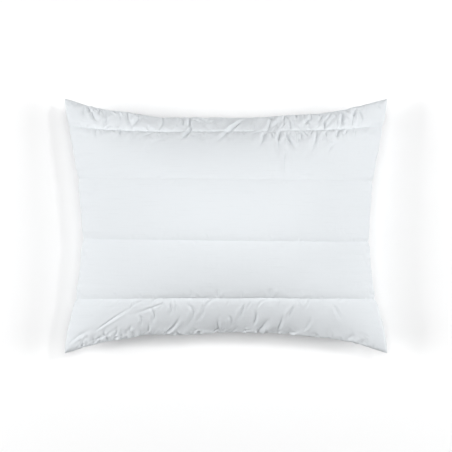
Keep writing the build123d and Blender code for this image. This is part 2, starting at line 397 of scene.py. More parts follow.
# Single folds of the upper panel, listed one by one: start, bend and end in X and Y, then depth and half
# width.
# A fold is a valley with a ridge on each side, deepest in its first half.
UPPER_FOLDS = [
    ((0.033, 0.203), (0.006, 0.182), (-0.023, 0.152), 0.0040, 0.0028),
    ((-0.066, 0.190), (-0.072, 0.178), (-0.086, 0.162), 0.0044, 0.0026),
    ((-0.070, 0.207), (-0.069, 0.198), (-0.071, 0.182), 0.0044, 0.0026),
    ((-0.082, 0.204), (-0.081, 0.198), (-0.082, 0.190), 0.0024, 0.0022),
    ((-0.256, 0.222), (-0.253, 0.208), (-0.238, 0.198), 0.0028, 0.0030),
    ((-0.228, 0.209), (-0.229, 0.200), (-0.228, 0.191), 0.0022, 0.0035),
    ((-0.188, 0.207), (-0.183, 0.198), (-0.179, 0.189), 0.0030, 0.0040),
    ((-0.164, 0.206), (-0.173, 0.197), (-0.179, 0.189), 0.0024, 0.0040),
    ((-0.122, 0.206), (-0.121, 0.199), (-0.119, 0.186), 0.0026, 0.0022),
    ((-0.249, 0.188), (-0.249, 0.180), (-0.247, 0.168), 0.0026, 0.0030),
    ((-0.201, 0.188), (-0.202, 0.182), (-0.200, 0.170), 0.0034, 0.0030),
    ((-0.176, 0.182), (-0.178, 0.168), (-0.186, 0.152), 0.0018, 0.0050),
    ((-0.136, 0.165), (-0.142, 0.146), (-0.146, 0.126), 0.0012, 0.0070),
    ((0.053, 0.200), (0.054, 0.188), (0.053, 0.174), 0.0012, 0.0030),
    ((0.071, 0.180), (0.069, 0.163), (0.063, 0.146), 0.0020, 0.0050),
    ((0.101, 0.202), (0.096, 0.193), (0.086, 0.184), 0.0022, 0.0045),
    ((0.104, 0.181), (0.099, 0.160), (0.101, 0.132), 0.0034, 0.0036),
    ((0.086, 0.203), (0.078, 0.180), (0.064, 0.148), 0.0030, 0.0034),
    ((0.113, 0.176), (0.122, 0.158), (0.134, 0.140), 0.0036, 0.0032),
    ((0.112, 0.140), (0.109, 0.118), (0.112, 0.088), 0.0024, 0.0050),
    ((0.140, 0.181), (0.143, 0.172), (0.140, 0.158), 0.0026, 0.0030),
    ((0.172, 0.180), (0.168, 0.158), (0.154, 0.124), 0.0036, 0.0040),
    ((0.190, 0.181), (0.186, 0.172), (0.180, 0.158), 0.0024, 0.0030),
    ((0.214, 0.184), (0.212, 0.176), (0.206, 0.164), 0.0026, 0.0030),
    ((0.204, 0.156), (0.196, 0.146), (0.190, 0.132), 0.0022, 0.0034),
    ((0.226, 0.218), (0.221, 0.200), (0.218, 0.172), 0.0044, 0.0032),
    ((0.232, 0.212), (0.236, 0.202), (0.233, 0.190), 0.0024, 0.0030),
    ((0.249, 0.226), (0.243, 0.206), (0.240, 0.178), 0.0044, 0.0032),
    ((0.254, 0.222), (0.260, 0.206), (0.256, 0.194), 0.0028, 0.0030),
    ((0.186, 0.203), (0.188, 0.194), (0.187, 0.184), 0.0026, 0.0028),
    ((0.160, 0.206), (0.152, 0.196), (0.146, 0.184), 0.0030, 0.0030),
    ((0.150, 0.204), (0.158, 0.196), (0.162, 0.186), 0.0024, 0.0028),
    ((-0.279, -0.236), (-0.277, -0.230), (-0.271, -0.222), 0.0036, 0.0024),
    ((0.294, 0.239), (0.296, 0.230), (0.304, 0.224), 0.0014, 0.0020),
    ((-0.247, -0.199), (-0.214, -0.176), (-0.176, -0.152), 0.0026, 0.0018),
    ((-0.301, -0.226), (-0.280, -0.210), (-0.252, -0.195), 0.0018, 0.0026),
    ((-0.262, -0.222), (-0.224, -0.206), (-0.190, -0.178), 0.0012, 0.0022),
    ((-0.120, -0.147), (-0.148, -0.158), (-0.184, -0.170), 0.0014, 0.0022),
    ((-0.232, -0.214), (-0.234, -0.205), (-0.229, -0.197), 0.0028, 0.0024),
    ((-0.213, -0.209), (-0.209, -0.202), (-0.211, -0.193), 0.0026, 0.0022),
    ((-0.182, -0.205), (-0.184, -0.196), (-0.178, -0.188), 0.0028, 0.0024),
    ((-0.150, -0.202), (-0.147, -0.194), (-0.150, -0.185), 0.0024, 0.0022),
    ((-0.118, -0.206), (-0.098, -0.190), (-0.085, -0.164), 0.0032, 0.0024),
    ((-0.070, -0.150), (-0.062, -0.168), (-0.078, -0.196), 0.0026, 0.0032),
    ((-0.044, -0.152), (-0.046, -0.168), (-0.062, -0.186), 0.0018, 0.0030),
    ((-0.106, -0.148), (-0.103, -0.160), (-0.108, -0.172), 0.0024, 0.0028),
    ((-0.142, -0.156), (-0.136, -0.172), (-0.146, -0.194), 0.0026, 0.0030),
    ((-0.164, -0.170), (-0.160, -0.182), (-0.166, -0.196), 0.0020, 0.0026),
    ((-0.010, -0.203), (-0.016, -0.186), (-0.010, -0.164), 0.0020, 0.0028),
    ((0.006, -0.170), (0.010, -0.182), (0.004, -0.196), 0.0022, 0.0030),
    ((0.034, -0.150), (0.028, -0.166), (0.022, -0.184), 0.0024, 0.0030),
    ((0.128, -0.152), (0.120, -0.168), (0.116, -0.186), 0.0024, 0.0032),
    ((0.150, -0.198), (0.158, -0.184), (0.160, -0.168), 0.0020, 0.0030),
    ((0.205, -0.150), (0.212, -0.166), (0.224, -0.184), 0.0016, 0.0034),
    ((0.052, -0.187), (0.056, -0.174), (0.057, -0.156), 0.0036, 0.0032),
    ((0.060, -0.204), (0.072, -0.188), (0.085, -0.172), 0.0036, 0.0045),
    ((0.098, -0.200), (0.104, -0.182), (0.108, -0.162), 0.0032, 0.0034),
    ((0.232, -0.219), (0.240, -0.213), (0.246, -0.206), 0.0024, 0.0050),
    ((-0.067, -0.134), (-0.066, -0.126), (-0.068, -0.114), 0.0012, 0.0045),
    ((-0.015, -0.135), (-0.016, -0.126), (-0.015, -0.116), 0.0012, 0.0040),
    ((0.084, -0.135), (0.083, -0.124), (0.084, -0.114), 0.0014, 0.0045),
]


FOLD_BOX = 7  # a fold reaches this many half widths from its line


def pucker_row(x, distance, strength, seed):
    """Puckers on one side of one seam: rounded swells with sharp valleys, 0 on the seam itself.

    Each scale is a wandering curve along the seam, times (d / reach) * exp(1 - d / reach).
    """
    height = np.zeros_like(x)
    for k, (wavelength, reach, size) in enumerate(PUCKER_SCALES):
        lean = 0.5 * Wander(seed + 50 + k)(x / 0.07)
        swell = Wander(seed + k)((x + lean * distance) / (wavelength / 2))
        gain = 0.6 + 0.4 * Wander(seed + 90 + k)(x / 0.045)
        fade = distance / reach * np.exp(1 - distance / reach)
        height += size * gain * fade * (0.65 * swell + 0.55 * (np.abs(swell) - 0.4))
    return height * strength


def add_fold(height, x, y, fold):
    """Adds one crease to height: a sharp valley along a curve through three points, between two ridges.

    Across the curve, with o the offset over the width: 0.6 * exp(-((o - 1.9) / 1.1)^2)
    + 0.25 * exp(-((o + 1.7) / 0.9)^2) - exp(-|o| / 0.75). Along it the crease tapers away at both ends.
    """
    start, bend, end, depth, width = fold
    a, b, c = (np.array(point) for point in (start, bend, end))
    steps = np.linspace(0, 1, 11)
    pull = 2 * b - (a + c) / 2
    line = np.outer((1 - steps) ** 2, a) + np.outer(2 * steps * (1 - steps), pull) + np.outer(steps**2, c)
    low, high = line.min(axis=0) - FOLD_BOX * width, line.max(axis=0) + FOLD_BOX * width
    box = (x > low[0]) & (x < high[0]) & (y > low[1]) & (y < high[1])
    px, py = x[box], y[box]
    nearest, share, offset, beyond = np.full(px.shape, 9.0), *np.zeros((3, *px.shape))
    for k in range(len(steps) - 1):
        run = line[k + 1] - line[k]
        length = np.hypot(*run)
        dx, dy = px - line[k, 0], py - line[k, 1]
        along, across = (dx * run[0] + dy * run[1]) / length, (dx * run[1] - dy * run[0]) / length
        over = along - np.clip(along, 0, length)
        far = np.hypot(over, across)
        closer = far < nearest
        nearest = np.where(closer, far, nearest)
        share = np.where(closer, (k + (along - over) / length) / (len(steps) - 1), share)
        offset, beyond = np.where(closer, across, offset), np.where(closer, over, beyond)
    taper = ramp(share, -0.12, 0.22) * (1 - ramp(share, 0.40, 1.05)) * np.exp(-((beyond / width) ** 2))
    o = offset / (width * (0.8 + 0.7 * share))
    ridges = 0.6 * np.exp(-(((o - 1.9) / 1.1) ** 2)) + 0.25 * np.exp(-(((o + 1.7) / 0.9) ** 2))
    height[box] += depth * taper * (ridges - np.exp(-np.abs(o) / 0.75))


def random_folds(rows, places, seed):
    """Creases that start on a seam, scattered over each row's stretch, in X and the flat panel's v."""
    random = np.random.default_rng(seed)
    folds = []
    for seam, side, first, last, count, reach, depth, lean, spread in rows:
        spots = np.linspace(first, last, count + 1)[:-1]
        spots = spots + random.uniform(0, (last - first) / count, count)
        for x in spots:
            length = reach * random.uniform(0.5, 1.6)
            angle = random.normal(lean, spread)
            way = np.array([math.sin(angle), side * math.cos(angle)])
            across = np.array([way[1], -way[0]]) * random.normal(0, 0.12)
            start = np.array([x, places[seam] + side * random.uniform(0.0005, 0.004)])
            size = depth * random.uniform(0.35, 1.25)
            width = random.uniform(0.0014, 0.0027) * (0.7 + 0.3 * length / reach)
            bend, end = start + (way * 0.5 + across) * length, start + way * length
            folds.append((start, bend, end, size, width))
    return folds


# ---------------------------------------------------------------- grids


def graded(cuts, fine, coarse, reach):
    """Places from cuts[0] to cuts[-1] that hit every cut, close at the cuts and wider apart in between."""
    places = [np.array([cuts[0]])]
    for start, end in zip(cuts[:-1], cuts[1:]):
        walk = np.linspace(start, end, 400)
        near = np.minimum(walk - start, end - walk)
        spacing = fine + (coarse - fine) * ramp(near, 0, reach)
        dense = (walk[1] - walk[0]) / ((spacing[1:] + spacing[:-1]) / 2)
        count = np.concatenate([[0], np.cumsum(dense)])
        steps = max(2, int(round(count[-1])))
        places.append(np.interp(np.linspace(0, count[-1], steps + 1)[1:], count, walk))
    return np.concatenate(places)


def panel_grid(form, across, along):
    """s and t grids: across and along are (fine, coarse, reach) spacings in metres on the flat panel."""
    length, width = form.cut
    u = graded([-length, length], *across) / length
    v = graded([-width] + [line * width for line in form.lines[::-1]] + [width], *along) / width
    return np.meshgrid(u, v, indexing="xy")


def normals(points):
    """Unit normals of a panel's grid of points, upwards: the cross product of its two gradients."""
    cross = np.cross(np.gradient(points, axis=1), np.gradient(points, axis=0))
    return cross / np.maximum(np.linalg.norm(cross, axis=-1, keepdims=True), 1e-12)


def cubic_weights(places, nodes):
    """Matrix that reads values off at places, by a cubic through the four nodes around each place."""
    index = np.interp(places, nodes, np.arange(len(nodes)))
    cell = np.clip(np.floor(index).astype(int), 0, len(nodes) - 2)
    f = index - cell
    parts = [
        (-f + 2 * f**2 - f**3) / 2,
        (2 - 5 * f**2 + 3 * f**3) / 2,
        (f + 4 * f**2 - 3 * f**3) / 2,
        (-(f**2) + f**3) / 2,
    ]
    weights = np.zeros((len(places), len(nodes)))
    for step, part in zip((-1, 0, 1, 2), parts):
        column = np.clip(cell + step, 0, len(nodes) - 1)
        np.add.at(weights, (np.arange(len(places)), column), part)
    return weights


# ---------------------------------------------------------------- relief of the two panels


def seam_places(form):
    """Where the seams lie on the flat panel's width axis, from the back edge to the front edge, in metres."""
    width = form.cut[1]
    return np.array([width] + [line * width for line in form.lines] + [-width])


def edge_distance(form, s, t):
    """Distance from the nearest edge on the flat panel."""
    return np.minimum(form.cut[1] * (1 - np.abs(t)), form.cut[0] * (1 - np.abs(s)))


def seam_relief(form, x, v, rows, seed):
    """Puckers of every seam in rows. v is the flat panel's own width axis, in metres."""
    places = seam_places(form)
    height = np.zeros_like(x)
    for k, (seam, side, spots, strengths) in enumerate(rows):
        distance = (v - places[seam]) * side
        strength = np.interp(x, spots, strengths) * (distance > 0)
        height += pucker_row(x, np.maximum(distance, 0), strength, seed + 7 * k)
    return height


def side_relief(form, s, t, seed):
    """Small puckers along the two short edges."""
    length, width = form.cut
    height = np.zeros_like(s)
    for k, side in enumerate((-1, 1)):
        distance = length - side * s * length
        strength = SIDE_PUCKERS * (distance < SIDE_REACH)
        height += pucker_row(t * width + 0.5 * side, distance, strength, seed + 31 * k)
    return height


def closing_relief(form, s, t):
    """Even little puckers along the topstitched closing: a wave along the edge that fades into the panel."""
    x, distance = s * form.cut[0], (t + 1) * form.cut[1]
    start, end = (share * form.cut[0] for share in CLOSING_SPAN)
    window = ramp(x, start - 0.010, start + 0.006) * (1 - ramp(x, end - 0.006, end + 0.010))
    wave = np.sin(2 * np.pi * x / CLOSING_WAVE + 1.6 * Wander(77)(x / 0.02))
    fade = distance / CLOSING_REACH * np.exp(1 - distance / CLOSING_REACH)
    return CLOSING_DEPTH * (0.75 + 0.25 * Wander(78)(x / 0.012)) * wave * fade * window


def swell(s, t, seed):
    """Very soft unevenness of the filling, in waves of about 10 and 17 cm."""
    first = Wander(seed)(s * 3.7 + 0.6 * t) * Wander(seed + 1)(t * 3.1 - 0.5 * s)
    second = Wander(seed + 2)(s * 6.5 - 1.1 * t + 9) * Wander(seed + 3)(t * 5.3 + 0.8 * s)
    return 0.0016 * first + 0.0008 * second


def panel_points(form, s, t, side, shift=None):
    """One finished panel: the filled form, its grooves, folds and puckers, and the simulated shift."""
    points = form.point(s, t, side)
    out = normals(points) * side
    x, y = points[..., 0], points[..., 1]
    flat_v = t * form.cut[1]
    seams, creases = (UPPER_SEAMS, UPPER_CREASES) if side > 0 else (LOWER_SEAMS, LOWER_CREASES)
    seam_seed, side_seed, crease_seed, swell_seed = PANEL_SEEDS[side]
    relief = seam_relief(form, x, flat_v, seams, seam_seed)
    if side > 0:
        for fold in UPPER_FOLDS:
            add_fold(relief, x, y, fold)
    relief += closing_relief(form, s, t) + side_relief(form, s, t, side_seed)
    for fold in random_folds(creases, seam_places(form), crease_seed):
        add_fold(relief, x, flat_v, fold)
    relief += swell(s, t, swell_seed) - form.groove(s, t) * (1 if side > 0 else LOWER_QUILTING)
    relief *= ramp(edge_distance(form, s, t), 0, EDGE_FADE)
    points = points + out * relief[..., None]
    if shift is not None:
        points = points + shift
    points = draw_in(form, points, s, t, side)
    if side < 0:
        points[..., 2] = np.maximum(points[..., 2], 0)
    return points


def draw_in(form, points, s, t, side):
    """Draws the last millimetres into the seam, by SEAM_INSET * exp(-d / SEAM_SIZE), d from the edge.

    Everywhere else the panel stands LIP off the seam's height, and more at the front left tip, by
    TIP_ROLL * exp(-(r / TIP_REACH)^2), r from the tip.
    """
    for axis, share in enumerate((s, t)):
        distance = form.cut[axis] * (1 - np.abs(share))
        points[..., axis] -= np.sign(share) * SEAM_INSET * np.exp(-distance / SEAM_SIZE)
    tip = np.hypot(form.cut[0] * (s + 1), form.cut[1] * (t + 1))
    lip = LIP * (1 + TIP_ROLL * np.exp(-((tip / TIP_REACH) ** 2)))
    points[..., 2] += side * lip * (1 - np.exp(-edge_distance(form, s, t) / LIP_SIZE))
    return points


# ---------------------------------------------------------------- the cloth simulation


def grid_quads(index):
    """The quads of a panel's grid of vertex numbers, facing up."""
    corners = (index[:-1, :-1], index[:-1, 1:], index[1:, 1:], index[1:, :-1])
    return np.stack(corners, axis=-1).reshape(-1, 4)


def blurred(field, rounds):
    """The field averaged with its four neighbours, some rounds over, then brought back to a spread of 1."""
    for _ in range(rounds):
        field = (field + sum(np.roll(field, step, axis) for axis in (0, 1) for step in (-1, 1))) / 5
    return field / field.std()


def weight_group(obj, name, weights):
    """A vertex group with the given weights, rounded to hundredths."""
    group = obj.vertex_groups.new(name=name)
    rounded = np.round(np.clip(weights, 0, 1), 2)
    for value in np.unique(rounded):
        group.add([int(k) for k in np.nonzero(rounded == value)[0]], float(value), "REPLACE")


class Settling:
    """Lets both panels, sewn round the edge and held at the quilt lines, buckle as real cloth.

    The cloth near each seam grows by up to SIM_GROWTH, as quilting takes more cloth than the seam is long,
    and finds its own wrinkles. The filled form holds it softly in between.
    """

    def __init__(self, form):
        self.form = form
        self.s, self.t = panel_grid(form, (SIM_CELL, SIM_CELL, 1), (SIM_CELL, SIM_CELL, 1))
        rows, columns = self.s.shape
        self.number = np.arange(rows * columns).reshape(rows, columns)
        self.inner = np.ones((rows, columns), bool)
        self.inner[[0, -1]] = False
        self.inner[:, [0, -1]] = False
        self.lower_number = self.number.copy()
        self.lower_number[self.inner] = rows * columns + np.arange(self.inner.sum())

    def start_points(self):
        """Vertices: the whole upper panel, then the lower panel's inner part."""
        random = np.random.default_rng(7)
        upper = self.form.point(self.s, self.t, 1)
        upper[..., 2] += blurred(random.normal(size=self.s.shape), 2) * SIM_START * self.inner
        dents = np.zeros_like(self.s)
        for start, bend, end, depth, width in UPPER_FOLDS:
            dent = (start, bend, end, SIM_FOLD * depth, max(width, SIM_CELL))
            add_fold(dents, upper[..., 0], upper[..., 1], dent)
        upper[..., 2] += dents * self.inner
        lower = self.form.point(self.s, self.t, -1)
        return np.concatenate([upper.reshape(-1, 3), lower[self.inner]])

    def weights(self):
        """Growth and hold of every vertex: growth near seams, a firm hold at them, a soft one elsewhere."""
        form, s, t = self.form, self.s, self.t
        distance = np.abs(t[..., None] * form.cut[1] - seam_places(form))
        share = (np.clip(1 - distance / SIM_REACH, 0, 1) * SIM_SLACK).max(axis=-1)
        sides = np.clip(1 - form.cut[0] * (1 - np.abs(s)) / SIM_REACH, 0, 1) * SIM_SIDE_SLACK
        patch = 0.6 + 0.4 * np.clip(blurred(np.random.default_rng(11).normal(size=s.shape), 30), -1, 1)
        growth = np.maximum(share, sides) * patch
        hold = SIM_HOLD * (1 - 0.75 * np.clip(1 - distance.min(axis=-1) / (1.3 * SIM_REACH), 0, 1))
        hold[distance.min(axis=-1) < 1e-6] = 0.97
        hold[~self.inner] = 0.95
        return growth, hold

    def both(self, field, lower_share=1.0):
        """A field of the panel, for all vertices of both panels."""
        return np.concatenate([field.ravel(), field[self.inner] * lower_share])

    def run(self):
        """The shift of the upper and the lower panel's points, in metres."""
        points = self.start_points()
        faces = np.concatenate([grid_quads(self.number), grid_quads(self.lower_number)[:, ::-1]])
        cloth = new_object("settling_cloth", points, faces.tolist())
        growth, hold = self.weights()
        weight_group(cloth, "growth", 1 - self.both(growth, 0.7))
        weight_group(cloth, "hold", self.both(hold))
        self.set_cloth(cloth)
        scene = bpy.context.scene
        for number in range(1, SIM_FRAMES + 1):
            scene.frame_set(number)
        settled = cloth.evaluated_get(bpy.context.evaluated_depsgraph_get()).data
        flat = np.empty(len(points) * 3, np.float32)
        settled.vertices.foreach_get("co", flat)
        scene.frame_set(1)
        moved = flat.reshape(-1, 3) - points
        longest = np.linalg.norm(moved, axis=1, keepdims=True)
        moved *= np.minimum(1, SIM_CAP / np.maximum(longest, 1e-9))
        mesh = cloth.data
        bpy.data.objects.remove(cloth)
        bpy.data.meshes.remove(mesh)
        return moved[self.number], moved[self.lower_number]

    @staticmethod
    def set_cloth(cloth):
        """A light percale cloth with a little pressure behind it and no gravity."""
        modifier = cloth.modifiers.new("cloth", "CLOTH")
        modifier.collision_settings.use_collision = False
        modifier.collision_settings.use_self_collision = False
        modifier.point_cache.frame_start = 1
        modifier.point_cache.frame_end = SIM_FRAMES + 1
        values = modifier.settings
        for key, value in SIM_CLOTH.items():
            setattr(values, key, value)
        values.effector_weights.gravity = 0
        values.vertex_group_shrink = "growth"
        values.shrink_min = -SIM_GROWTH
        values.shrink_max = 0
        values.vertex_group_mass = "hold"


# ---------------------------------------------------------------- meshes


def new_object(name, points, faces):
    """A mesh object at the origin, linked to the scene."""
    mesh = bpy.data.meshes.new(name)
    mesh.from_pydata(np.asarray(points).reshape(-1, 3).tolist(), [], faces)
    mesh.update()
    obj = bpy.data.objects.new(name, mesh)
    bpy.context.scene.collection.objects.link(obj)
    return obj


def smooth(obj):
    """Smooth shading on every face."""
    obj.data.polygons.foreach_set("use_smooth", np.ones(len(obj.data.polygons), bool))


def add_cloth_map(obj, u, v):
    """A UV map with the flat cloth's own places, in metres, for the weave."""
    layer = obj.data.uv_layers.new(name="cloth")
    corner = np.empty(len(obj.data.loops), np.int32)
    obj.data.loops.foreach_get("vertex_index", corner)
    layer.data.foreach_set("uv", np.stack([u, v], axis=-1)[corner].ravel().astype(np.float32))


def ring(index):
    """The outer vertex numbers of a grid, once round."""
    return np.concatenate([index[0, :-1], index[:-1, -1], index[-1, :0:-1], index[:0:-1, 0]])


def shell(name, first, second, s, t, form):
    """A closed body between two grids of points, the upper one first, with a strip round the edge."""
    rows, columns = s.shape
    count = rows * columns
    index = np.arange(count).reshape(rows, columns)
    edge = ring(index)
    ahead = np.roll(edge, -1)
    strip = np.stack([ahead, edge, edge + count, ahead + count], axis=-1)
    faces = np.concatenate([grid_quads(index), grid_quads(index + count)[:, ::-1], strip])
    obj = new_object(name, np.concatenate([first.reshape(-1, 3), second.reshape(-1, 3)]), faces.tolist())
    smooth(obj)
    u, v = np.tile(s.ravel() * form.cut[0], 2), np.tile(t.ravel() * form.cut[1], 2)
    add_cloth_map(obj, u, v)
    return obj


def along_path(path, out, spots):
    """Points and outward directions at distances spots along a path."""
    run = np.concatenate([[0], np.cumsum(np.linalg.norm(np.diff(path, axis=0), axis=1))])
    point = np.stack([np.interp(spots, run, path[:, k]) for k in range(3)], axis=-1)
    lift = np.stack([np.interp(spots, run, out[:, k]) for k in range(3)], axis=-1)
    return point, lift / np.linalg.norm(lift, axis=-1, keepdims=True)


def path_length(path):
    """Length of a path of points."""
    return np.linalg.norm(np.diff(path, axis=0), axis=1).sum()


STITCH_RINGS = 7
STITCH_SIDES = 6
STITCH_RISE = 1.1  # of a stitch's middle over its ends, in thread radii
STITCH_SINK = 0.35  # of its ends into the cloth, in thread radii
STITCH_HALF = 0.36  # half a stitch, as a share of the pitch
SEAM_PITCH = 0.8  # the edge seams' pitch, as a share of the quilting's
CLOSING_PITCH = 0.75  # and the closing's


def stitches(name, runs, pitch, radius, seed):
    """Rows of single stitches along paths: each is a bent capsule that dives into the cloth at both ends.

    Along a stitch w goes from -1 to 1: its middle line rises by (1 - w^4) and its radius by sqrt(1 - w^8).
    """
    random = np.random.default_rng(seed)
    w = np.linspace(-1, 1, STITCH_RINGS)
    rise = (1 - w**4) * STITCH_RISE * radius - STITCH_SINK * radius
    girth = radius * np.sqrt(np.clip(1 - w**8, 0.05, 1))
    turn = np.linspace(0, 2 * np.pi, STITCH_SIDES, endpoint=False)
    tubes = []
    for path, out in runs:
        count = max(2, int(path_length(path) / pitch))
        whole = path_length(path)
        centre = (np.arange(count) + 0.5) * whole / count + random.normal(0, 0.03 * pitch, count)
        spots = centre[:, None] + STITCH_HALF * pitch * (1 + random.normal(0, 0.03, (count, 1))) * w
        point, lift = along_path(path, out, np.clip(spots, 0, whole))
        head = np.gradient(point, axis=1)
        head /= np.linalg.norm(head, axis=-1, keepdims=True)
        side = np.cross(lift, head)
        sway = random.normal(0, 0.12 * radius, (count, 1, 1)) * w[:, None]
        middle = point + lift * rise[:, None] + side * sway
        spin = np.cos(turn)[:, None] * side[..., None, :] + np.sin(turn)[:, None] * lift[..., None, :]
        tube = middle[..., None, :] + girth[:, None, None] * spin
        tubes.append(tube.reshape(-1, STITCH_RINGS, STITCH_SIDES, 3))
    return tube_mesh(name, np.concatenate(tubes))


def tube_mesh(name, tubes):
    """Closed tubes in one mesh, from an array of tube, ring, side and XYZ."""
    count, rings, sides = tubes.shape[:3]
    index = np.arange(rings * sides).reshape(rings, sides)
    turned = np.roll(index, -1, axis=1)
    quads = np.stack([index[:-1], turned[:-1], turned[1:], index[1:]], axis=-1).reshape(-1, 4)
    start = np.arange(count) * rings * sides
    faces = (quads[None] + start[:, None, None]).reshape(-1, 4).tolist()
    caps = np.stack([index[0, ::-1], index[-1]])
    faces += (caps[None] + start[:, None, None]).reshape(-1, sides).tolist()
    obj = new_object(name, tubes, faces)
    smooth(obj)
    return obj


# ---------------------------------------------------------------- materials


class Wire:
    """A socket in a material's expression. Arithmetic on it adds Math nodes."""

    def __init__(self, material, socket):
        self.material = material
        self.socket = socket

    def math(self, operation, first, second=0.0):
        """One Math node."""
        return self.material.node("ShaderNodeMath", {"operation": operation}, {0: first, 1: second})

    def __add__(self, other):
        return self.math("ADD", self, other)

    def __radd__(self, other):
        return self.math("ADD", other, self)

    def __rsub__(self, other):
        return self.math("SUBTRACT", other, self)

    def __mul__(self, other):
        return self.math("MULTIPLY", self, other)

    def __rmul__(self, other):
        return self.math("MULTIPLY", other, self)

    def sine(self):
        """Its sine."""
        return self.math("SINE", self)

    def between(self, low, high):
        """0 below low, 1 above high, and a smooth step between."""
        settings = {"interpolation_type": "SMOOTHSTEP"}
        inputs = {"Value": self, "From Min": low, "From Max": high}
        return self.material.node("ShaderNodeMapRange", settings, inputs)


class Finish:
    """A node material under construction."""

    def __init__(self, name, colour, roughness, sheen):
        self.data = bpy.data.materials.new(name)
        self.data.use_nodes = True
        self.shader = self.data.node_tree.nodes["Principled BSDF"]
        self.shader.inputs["Specular IOR Level"].default_value = 0.25
        self.shader.inputs["Sheen Weight"].default_value = sheen
        self.shader.inputs["Sheen Roughness"].default_value = 0.45
        self.shader.inputs["Roughness"].default_value = roughness
        self.shader.inputs["Base Color"].default_value = (*colour, 1)
        self.data.diffuse_color = (*colour, 1)

    def node(self, kind, settings=None, inputs=None, output=0):
        """One node: its settings, then the values or wires of its sockets. Returns one of its outputs."""
        node = self.data.node_tree.nodes.new(kind)
        for key, value in (settings or {}).items():
            setattr(node, key, value)
        for key, value in (inputs or {}).items():
            self.join(node.inputs[key], value)
        return Wire(self, node.outputs[output])

    def join(self, socket, value):
        """Sets a socket to a number or colour, or links a wire to it."""
        if isinstance(value, Wire):
            self.data.node_tree.links.new(value.socket, socket)
        else:
            socket.default_value = value

    def split(self, place):
        """The X and the Y of a place."""
        first = self.node("ShaderNodeSeparateXYZ", {}, {0: place})
        return first, Wire(self, first.socket.node.outputs[1])

    def stretched(self, place, stretch):
        """A place with each axis multiplied."""
        return self.node("ShaderNodeVectorMath", {"operation": "MULTIPLY"}, {0: place, 1: stretch})

    def noise(self, place, stretch, detail=2.0):
        """Noise from 0 to 1, with that many waves a metre along each axis."""
        inputs = {"Vector": self.stretched(place, stretch), "Scale": 1.0, "Detail": detail}
        return self.node("ShaderNodeTexNoise", {}, inputs)

    def tint(self, share, colour, other):
        """A colour that goes to the other one as share goes to 1."""
        inputs = {0: share, 6: (*colour, 1), 7: (*other, 1)}
        return self.node("ShaderNodeMix", {"data_type": "RGBA"}, inputs, output=2)

    def paint(self, share, colour, other):
        """Sets the base colour to vary between two colours."""
        self.join(self.shader.inputs["Base Color"], self.tint(share, colour, other))

    def raise_by(self, height, distance):
        """Bumps the surface by height times distance."""
        bump = self.node("ShaderNodeBump", {}, {"Height": height, "Distance": distance, "Strength": 1.0})
        self.join(self.shader.inputs["Normal"], bump)

    def roughen(self, share, low, high):
        """Roughness from low to high as share goes from 0 to 1."""
        self.join(self.shader.inputs["Roughness"], low + share * (high - low))


def shaded(colour, share):
    """A colour darkened by a share."""
    return tuple(channel * (1 - share) for channel in colour)


def cotton(colours):
    """Percale cotton: a plain weave with slubs along its weft, and a soft uneven tint."""
    finish = Finish("white_cotton_percale", colours.cloth, 0.82, 0.12)
    place = finish.node("ShaderNodeUVMap", {"uv_map": "cloth"})
    across, along = finish.split(place)
    weave = (across * (2 * math.pi / WARP_PITCH)).sine() * (along * (2 * math.pi / WEFT_PITCH)).sine()
    slub = finish.noise(place, (16, 750, 1), 1.0).between(0.60, 0.74)
    thick = finish.noise(place, (700, 9, 1), 1.0).between(0.62, 0.76)
    cloud = finish.noise(place, (5, 7, 1), 3.0)
    fuzz = finish.noise(place, (1900, 1900, 1), 2.0)
    share = 0.60 * slub + 0.20 * thick + 0.45 * cloud + 0.03 * weave
    finish.paint(share, colours.cloth, shaded(colours.cloth, 0.055))
    finish.roughen(fuzz, 0.74, 0.92)
    finish.raise_by(0.25 * weave + 0.9 * slub + 0.4 * thick + 0.3 * fuzz, 0.00007)
    return finish.data


def padding(name, colour, scale, depth):
    """Matted fibre: crossed noise, long one way and then the other."""
    finish = Finish(name, colour, 0.95, 0.2)
    place = finish.node("ShaderNodeTexCoord", {}, {}, output=3)
    one = finish.noise(place, (scale, scale * 6, scale), 4.0)
    two = finish.noise(place, (scale * 6, scale, scale), 4.0)
    mat = one * two
    finish.paint(mat.between(0.1, 0.45), shaded(colour, 0.15), colour)
    finish.roughen(mat, 0.85, 1.0)
    finish.raise_by(mat, depth)
    return finish.data


def thread(name, colour):
    """Two-ply polyester thread: a fine slanting twist."""
    finish = Finish(name, colour, 0.6, 0.1)
    place = finish.node("ShaderNodeTexCoord", {}, {}, output=3)
    x, y = finish.split(place)
    twist = ((x + y) * (2 * math.pi / TWIST_PITCH)).sine() * 0.5 + 0.5
    cloud = finish.noise(place, (60, 60, 60), 2.0)
    finish.paint(twist * 0.6 + cloud * 0.4, shaded(colour, 0.12), colour)
    finish.roughen(cloud, 0.5, 0.7)
    finish.raise_by(twist, 0.00008)
    return finish.data


def studio_floor(colour):
    """A matt pale floor with hardly any grain, which fades away all round between two radii."""
    finish = Finish("studio_floor", colour, 0.9, 0.0)
    place = finish.node("ShaderNodeTexCoord", {}, {}, output=3)
    grain = finish.noise(place, (40, 40, 40), 3.0)
    finish.paint(grain, colour, shaded(colour, 0.01))
    finish.roughen(grain, 0.85, 0.95)
    radius = finish.node("ShaderNodeVectorMath", {"operation": "LENGTH"}, {0: place}, output=1)
    finish.join(finish.shader.inputs["Alpha"], 1.0 - radius.between(*FLOOR_FADE))
    return finish.data


# ---------------------------------------------------------------- operators


class Workshop:
    """What the operators share: the form, the simulated shift and the finished cover grids."""

    form = None
    nodes = ()
    shift = {}
    panels = {}


def settings():
    """The sizes and the colours."""
    scene = bpy.context.scene
    return scene.pillow_sizes, scene.pillow_colours


